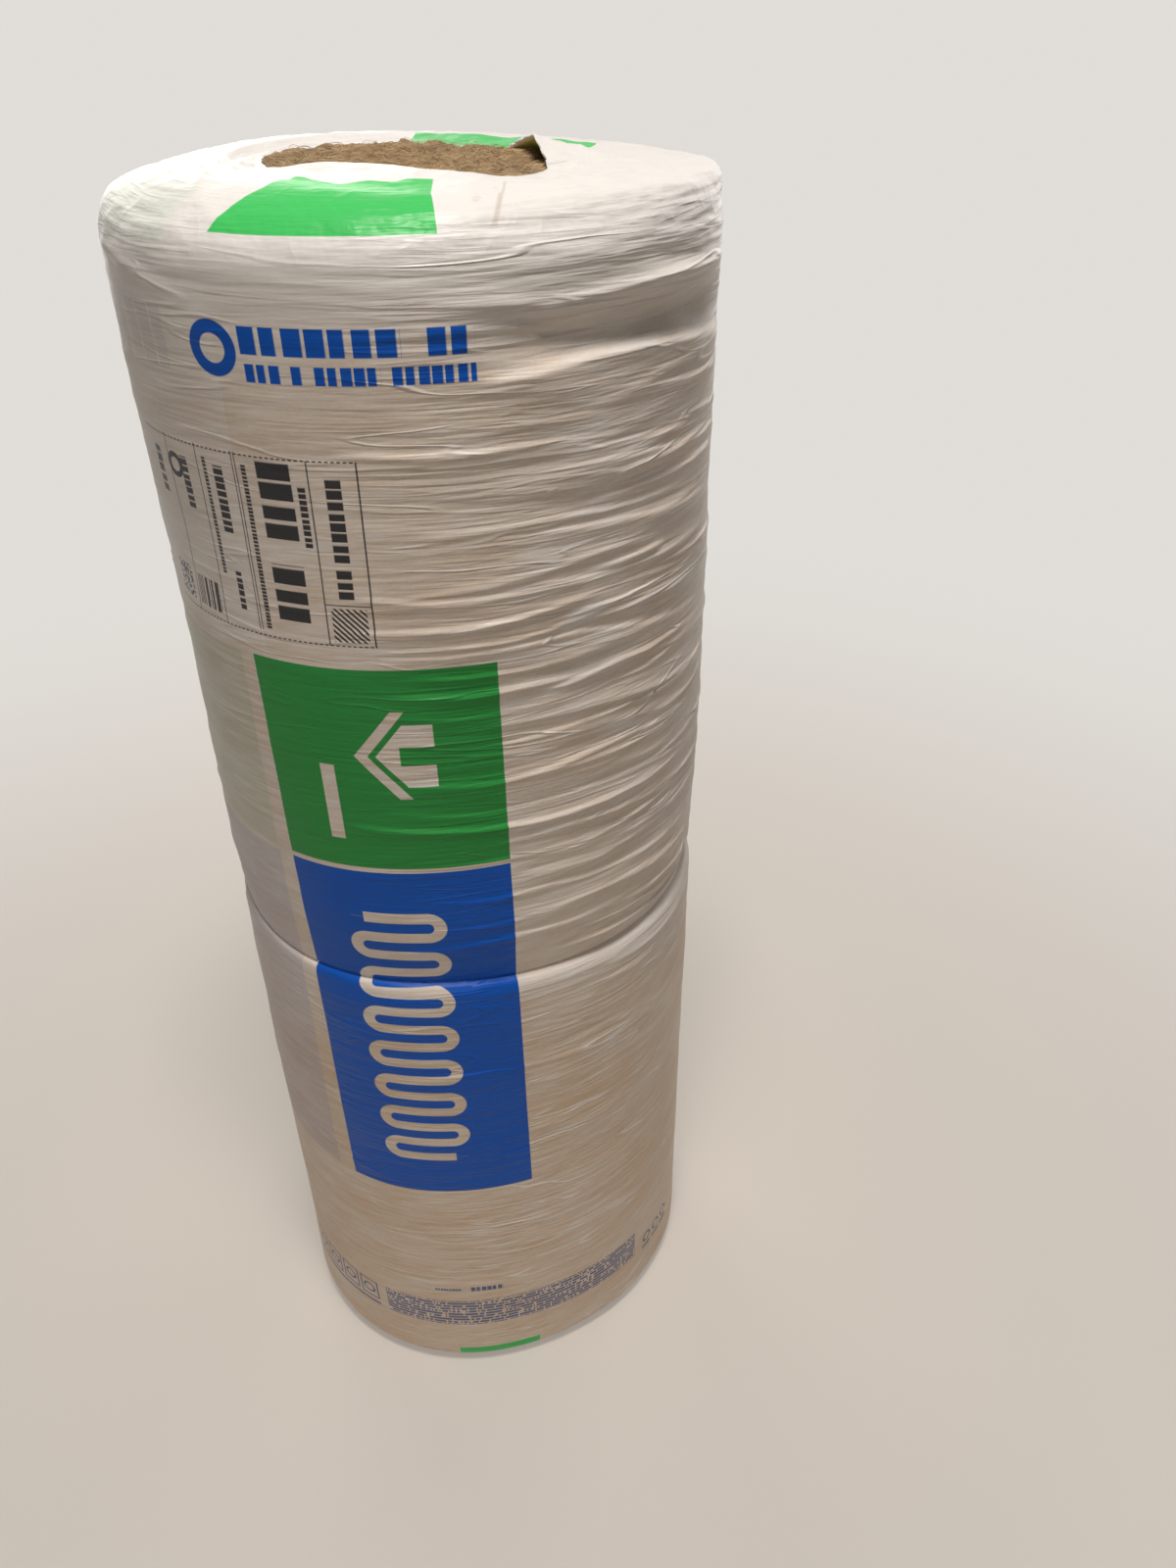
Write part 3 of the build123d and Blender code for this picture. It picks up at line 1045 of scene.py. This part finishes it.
def film_normal(p, coordinates, crest):
    """The finest wrinkles: long level ones up the side, arcs and crumples on the end."""
    below = p.between(p.along, crease_height * MM - 0.02, crease_height * MM - 0.04)
    slack = p.most(p.between(p.around, -0.10, 0.04, 0.25, 1.0), below)
    long = ridge(p, p.stretched(coordinates, (1, 1, 16)), 7.0, 2.0, 0.5, 0.3)
    short = ridge(p, p.stretched(coordinates, (1, 1, 13)), 21.0, 2.0, 0.5, 0.3)
    waves = p.scaled(short, 0.3, long)
    side = p.times(p.scaled(crest, 0.26, waves), slack)
    arcs = ridge(p, p.stretched(p.place, (7, 75, 1)), 1.0, 3.0, 0.55, 0.4)
    arcs = p.times(arcs, p.between(p.around, -0.10, -0.20, 0.35, 1.0))
    crumple = ridge(p, coordinates, 30.0, 3.0, 0.5)
    end = p.times(p.scaled(crumple, 0.9, arcs), p.between(p.along, 1.12, 1.15, 0.0, 1.3))
    crinkle = p.noise(coordinates, 110.0, 3.0)
    normal = p.bump(p.plus(side, end), 0.55, 0.006)
    return p.bump(crinkle, 0.2, 0.0004, normal)


def ridge(p, where, *settings):
    """Noise turned into sharp ridges, 0.5 at their crests."""
    return p.minus(0.5, p.size_of(p.minus(p.noise(where, *settings), 0.5)))


def top_patch(p):
    """The green panel that comes over the top edge, with a bent left edge and top edge."""
    panel = p.box(-128, -86.9, 1149, edge_mark)
    wobble = p.noise(p.place, 30.0, 2.0)
    rise = p.scaled(p.size_of(p.minus(p.around, around_at(-108))), 0.38, 1.217)
    end = p.scaled(wobble, 0.010, rise)
    inside = p.past(p.minus(end, p.along), 0, cut_edge)
    bend, low_slope, high_slope = 1.190, -0.44, 0.19
    below = p.scaled(p.along, low_slope, -low_slope * bend)
    above = p.scaled(p.along, high_slope, -high_slope * bend)
    edge = p.plus(p.around, p.most(below, above))
    right_of = p.past(edge, around_at(-120.6), cut_edge)
    return p.least(p.least(panel, inside), right_of)


def far_patch(p):
    """The green panel beyond the opening, cut off slantwise at its right."""
    panel = p.box(-8, 88, 1214, edge_mark - 4)
    slope = 1.77
    edge = p.scaled(p.along, slope, p.around)
    return p.least(panel, p.past(edge, around_at(6) + slope * 1.252, cut_edge))


def house_mark(p, angle, height):
    """A plain house that lies on its side, as the panel's words would."""
    across, up = p.off(angle, height)
    side = p.size_of(up)
    slope = p.scaled(side, -0.8, across)
    roof = p.least(p.band(slope, -0.030, -0.020), p.band(side, -1, 0.038))
    body = p.least(p.band(slope, -0.014, 1), p.band(across, -1, 0.030))
    body = p.least(body, p.band(side, -1, 0.027))
    door = p.least(p.band(across, 0.004, 1), p.band(side, -1, 0.008))
    return p.most(roof, p.minus(body, door, clamp=True))


def wave_mark(p, angle, low, loops):
    """A row of loops, the common sign for insulation, up the blue panel.

    Level bars are joined by half circles at alternate ends, as one line. Sizes are in metres.
    """
    pitch = 0.021
    reach = 0.0255
    width = 0.0105
    across, up = p.off(angle, low)
    step = p.maths("DIVIDE", up, pitch)
    number = p.maths("FLOOR", step)
    part = p.minus(step, number)
    middle = p.times(p.minus(part, 0.5), pitch)
    odd = p.times(p.maths("PINGPONG", number, 1.0), 2.0)
    side = p.times(p.minus(odd, 1.0), across)
    beyond = p.minus(side, reach)
    level = p.minus(pitch / 2, p.size_of(middle))
    overlap = 0.0006
    bar = p.least(p.band(level, -1, width / 2), p.band(side, -reach - overlap, reach + overlap))
    bend = half_bend(p, beyond, middle, pitch, width)
    from_middle = p.size_of(p.minus(up, pitch * loops))
    past_end = p.minus(from_middle, pitch * loops)
    bend = p.least(bend, p.band(past_end, -1, 0))
    other_side = p.scaled(side, -1.0, -reach)
    outer = half_bend(p, other_side, p.minus(pitch, p.size_of(middle)), pitch, width)
    outer = p.least(outer, p.band(p.size_of(p.plus(past_end, pitch / 4)), pitch / 4, 1))
    return p.least(p.joined([bar, bend, outer]), p.band(past_end, -1, width / 2))


def half_bend(p, beyond, middle, pitch, width):
    """Half a ring, from one bar's middle to the next one's."""
    distance = p.maths("SQRT", p.squares(beyond, middle))
    bend = p.band(distance, (pitch - width) / 2, (pitch + width) / 2)
    return p.least(bend, p.band(beyond, 0, 1))


def heading(p):
    """Two rows of blocks in place of a printed heading."""
    words = ((-120.9, -94.2, 1082, 1098.5, 14.3), (-89.9, -82.2, 1082, 1098.5, 14.5),
             (-120.6, -114.2, 1065.5, 1076.5, 8.1), (-112.5, -110.4, 1065.5, 1076.5, 8.1),
             (-108.6, -97.8, 1065.5, 1076.5, 8.1), (-96.0, -82.1, 1065.5, 1076.5, 8.1))
    return p.joined(p.row_of_blocks(*word) for word in words)


def label(p):
    """The marks of a ruled label with rows of blocks for its entries, read from the side."""
    rules = ((-103.75, -103.45, 890, 1018.6), (-112.35, -112.1, 890, 1018.6),
             (-112.2, -103.5, 920, 920.8), (-126.1, -125.9, 894, 1020),
             (-126.7, -126.5, 894, 1020), (-135.4, -135.2, 890, 1020),
             (-144.4, -144.2, 890, 1020))
    entries = ((-109.4, -106.6, 951, 1008, 7.2), (-109.4, -106.6, 925, 946, 7.2),
               (-121.8, -115.4, 964, 1016, 13.5), (-121.8, -115.4, 905, 946, 13.5),
               (-114.4, -113.0, 960, 1002, 4.2), (-124.9, -123.9, 896, 1012, 2.6),
               (-131.4, -129.2, 962, 1008, 5.0), (-130.6, -129.2, 906, 934, 5.0),
               (-133.9, -133.0, 930, 1012, 2.6), (-140.4, -138.4, 972, 1008, 5.0),
               (-150.0, -147.6, 975, 1010, 7.0))
    yield p.joined(p.box(*rule) for rule in rules)
    yield p.joined(p.column_of_blocks(*entry) for entry in entries)
    yield label_border(p)
    yield p.ring(-142.3, 1000, 9, 4)
    yield bar_code(p)
    yield square_code(p)
    yield hatched_box(p)


def label_border(p):
    """Dotted lines over and under the label."""
    edges = p.joined(p.box(-154, -103.4, height - 0.5, height + 0.5) for height in (1018.5, 890.1))
    dot_pitch = 0.004
    dots = p.band(p.maths("FRACT", p.times(p.around, 1 / dot_pitch)), 0.2, 0.8, 0.1)
    return p.least(edges, dots)


def bar_code(p):
    """Stripes of uneven width."""
    stripe = 0.0011
    stripes = p.maths("GREATER_THAN", p.drawn(p.times(p.around, 1 / stripe)), 0.5)
    return p.least(p.box(-143.6, -136.2, 896, 919), stripes)


def square_code(p):
    """A patch of small squares."""
    side = 0.0017
    squares = p.maths("GREATER_THAN", p.cells(side, side), 0.5)
    return p.least(p.box(-152.6, -146.0, 896, 921), squares)


def hatched_box(p):
    """A small hatched picture box."""
    hatch = p.maths("SINE", p.times(p.plus(p.around, p.along), 1400.0))
    return p.least(p.box(-111.2, -104.6, 893, 918), p.band(hatch, 0.1, 2, 0.2))


def small_print(p):
    """Rows of tiny dashes, of blocks and of boxed and bare rings, low on the pack."""
    pitch = 0.0047
    row = p.maths("FRACT", p.times(p.along, 1 / pitch))
    dash = p.maths("GREATER_THAN", p.cells(0.0016, pitch), 0.2)
    lines = p.least(p.band(row, 0.16, 0.84, 0.1), dash)
    yield p.least(p.box(-124.4, -45.5, 73, 115), lines)
    ring_angles = (-39.5, -34.2, -29.0)
    rows = [(-109.0, -101.6, 134, 137.5, 3.0), (-99.0, -89.8, 133, 140, 5.7),
            (-156, -127.4, 72, 77, 3.2)]
    rows += [(angle - 2, angle + 2, 66, 72, 3.2) for angle in ring_angles]
    yield p.joined(p.row_of_blocks(*row) for row in rows)
    yield p.joined(boxed_ring(p, left) for left in (-156, -148.6, -141.2, -133.8))
    yield p.joined(p.ring(angle, 84, 7.5, 2.5) for angle in ring_angles)


def boxed_ring(p, left):
    """A small sign: a ring in a frame."""
    outside = p.box(left, left + 6.4, 82, 114)
    inside = p.box(left + 0.5, left + 5.9, 84, 112)
    edge = p.minus(outside, inside, clamp=True)
    return p.most(edge, p.ring(left + 3.2, 98, 8, 2.5))


def painted_groove_shade(p, coordinates):
    """Painted shade: dark lines along the grooves between the turns of a mat, on its ends."""
    parts = p.add("ShaderNodeSeparateXYZ", {"Vector": coordinates}).outputs
    angle = p.maths("ARCTAN2", parts["Y"], parts["X"])
    square = p.squares(parts["X"], parts["Y"])
    waver = p.maths("SINE", p.times(angle, 3.0))
    radius = p.scaled(waver, turn_waver * MM, p.maths("SQRT", square))
    turns = p.scaled(radius, 1 / (turn_pitch * MM), p.times(angle, -0.5 / math.pi))
    patchy = p.between(p.noise(coordinates, 40.0, 3.0), 0.35, 0.6, 0.3, 0.8)
    return p.times(p.between(p.maths("PINGPONG", turns, 0.5), 0.15, 0.03), patchy)


def wool_material():
    """Brown mineral wool in clumps, with darker streaks, pale fibres and painted shade in the
    grooves between its turns.
    """
    p = Surface("mineral_wool")
    coordinates = p.place_in_mesh()
    clump = p.noise(coordinates, 55.0, 4.0, 0.6)
    streak = p.noise(p.stretched(coordinates, (1, 1, 4)), 160.0, 4.0, 0.65, 0.8)
    fibre = p.noise(coordinates, 620.0, 3.0, 0.6, 1.2)
    colour = p.over(p.between(clump, 0.3, 0.7), wool_dark, wool_light)
    for value, low, high, share, tone in ((streak, 0.5, 0.78, 0.6, wool_pale),
                                          (streak, 0.5, 0.25, 0.7, dark_streak_and_groove_shade),
                                          (fibre, 0.55, 0.75, 0.35, pale_fibre)):
        colour = p.over(p.times(p.between(value, low, high), share), colour, tone)
    # Painted shade along the grooves between the mat's turns
    colour = p.over(painted_groove_shade(p, coordinates), colour, dark_streak_and_groove_shade)
    p.shade("Base Color", colour)
    p.shade("Roughness", 0.95)
    p.shade("Specular IOR Level", 0.15)
    p.shade("Sheen Weight", 0.15)
    normal = p.bump(streak, 0.8, 0.0015)
    normal = p.bump(fibre, 0.7, 0.0005, normal)
    p.shade("Normal", normal)
    return p.material


def fibre_material():
    """Pale straw-coloured loose fibres."""
    p = Surface("loose_fibre")
    coordinates = p.place_in_mesh()
    tone = p.noise(coordinates, 90.0, 2.0)
    colour = p.over(p.between(tone, 0.3, 0.7), fibre_dark, fibre_light)
    p.shade("Base Color", colour)
    p.shade("Roughness", p.between(tone, 0.3, 0.7, 0.6, 0.8))
    p.shade("Specular IOR Level", 0.2)
    return p.material


# Camera, lamps and floor

def make_camera():
    """A phone held above the pack's top end, looking down at it from the front."""
    camera = bpy.data.cameras.new("camera")
    camera.sensor_width = 36.0
    camera.lens = 26.80
    yaw, pitch, roll = 0.129, 0.5942, -0.0082
    place = (0, -0.9406, 1.2605)
    ahead = Vector((math.sin(yaw) * math.cos(pitch), math.cos(yaw) * math.cos(pitch),
                    -math.sin(pitch)))
    right = Vector((math.cos(yaw), -math.sin(yaw), 0))
    up = right.cross(ahead)
    turn = Matrix((right * math.cos(roll) + up * math.sin(roll),
                   up * math.cos(roll) - right * math.sin(roll), -ahead)).transposed()
    eye = in_scene("camera", camera)
    eye.matrix_world = Matrix.Translation(place) @ turn.to_4x4()
    bpy.context.scene.camera = eye


def make_lamp(name, place, aim, size, power, colour, spread=180):
    """A square soft lamp; a smaller spread keeps its light nearer the aim."""
    lamp = bpy.data.lights.new(name, "AREA")
    lamp.shape = "SQUARE"
    lamp.size = size
    lamp.spread = math.radians(spread)
    lamp.energy = power
    lamp.color = colour
    holder = in_scene(name, lamp)
    holder.location = place
    holder.rotation_mode = "QUATERNION"
    holder.rotation_quaternion = (Vector(aim) - Vector(place)).to_track_quat("-Z", "Y")


def background_rays(p):
    """1 for rays from the camera and for those that a glossy or clear surface sends on."""
    path = p.add("ShaderNodeLightPath").outputs
    total = p.plus(path["Is Camera Ray"], path["Is Glossy Ray"], clamp=True)
    return p.plus(total, path["Is Transmission Ray"], clamp=True)


def make_world():
    """Soft fill light, with a pale ground behind the object."""
    world = bpy.data.worlds.new("studio")
    bpy.context.scene.world = world
    world.use_nodes = True
    p = Sums(world.node_tree)
    output = p.add("ShaderNodeOutputWorld")
    fill = p.add("ShaderNodeBackground", {"Color": fill_colour, "Strength": 0.045})
    pale = p.add("ShaderNodeBackground", {"Color": pale_ground, "Strength": 1.0})
    choose = p.add("ShaderNodeMixShader", {1: fill.outputs[0], 2: pale.outputs[0]})
    p.give(choose.inputs[0], background_rays(p))
    p.give(output.inputs["Surface"], choose.outputs[0])


def make_floor():
    """A plain pale floor."""
    mesh = bpy.data.meshes.new("floor")
    half = 6.0
    corners = [(-half, -half, 0), (half, -half, 0), (half, half, 0), (-half, half, 0)]
    mesh.from_pydata(corners, [], [(0, 1, 2, 3)])
    p = Surface("pale_floor")
    coordinates = p.place_in_mesh()
    p.shade("Base Color", p.over(p.noise(coordinates, 2.0, 2.0), floor_dark, floor_light))
    p.shade("Roughness", 0.7)
    far = p.between(p.length(coordinates), 0.35, 2.2, 0.3, 1.0)
    share = p.times(far, background_rays(p))
    pale = p.add("ShaderNodeEmission", {"Color": pale_ground, "Strength": 1.0})
    mixed = p.add("ShaderNodeMixShader", {0: share, 1: p.shader.outputs[0], 2: pale.outputs[0]})
    p.give(p.output.inputs["Surface"], mixed.outputs[0])
    mesh.materials.append(p.material)
    in_scene("floor", mesh)


make_camera()
make_world()
make_floor()
make_lamp("overhead", (0.05, -0.68, 3.0), (0, 0, 0.8), 0.5, 43, (1.0, 0.95, 0.90))
make_lamp("front_fill", (-0.5, -2.6, 1.7), (0, -0.2, 0.12), 1.0, 1.3, (1.0, 0.93, 0.86), 55)
make_lamp("side_fill", (1.9, 2.0, 1.3), (0, 0, 0.5), 1.6, 17, (1.0, 0.96, 0.92))
make_lamp("back_fill", (-0.8, 2.5, 1.3), (0, 0, 0.5), 1.6, 24, (1.0, 0.96, 0.92))

films = [film_material("film_low", low_prints), film_material("film_panels", panel_prints),
         film_material("film_top", top_prints), film_material("film_end", end_prints)]
wool = wool_material()
fibres = fibre_material()

film_lower, film_upper = make_film()
for half in (film_lower, film_upper):
    for film in films:
        half.data.materials.append(film)
    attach(half, "root")
    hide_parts("film_wrap")

upper_wool = make_wool("upper_wool", upper_low.z, upper_high.z, (16, 34), (56, 48), True,
                       upper_seed)
lower_wool = make_wool("lower_wool", lower_low.z, lower_high.z, bottom_edge, (16, 34), False,
                       lower_seed)
upper_fibres = make_fibres("upper_fibres", upper_high.z, 11, 1500, True)
lower_fibres = make_fibres("lower_fibres", lower_low.z, 12, 500, False)
for piece, node in ((upper_wool, "upper_wool_roll"), (lower_wool, "lower_wool_roll")):
    piece.data.materials.append(wool)
    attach(piece, "root")
    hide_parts(node)
for piece in (upper_fibres, lower_fibres):
    piece.data.materials.append(fibres)
    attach(piece, "root")

bpy.context.scene.view_settings.view_transform = "Standard"
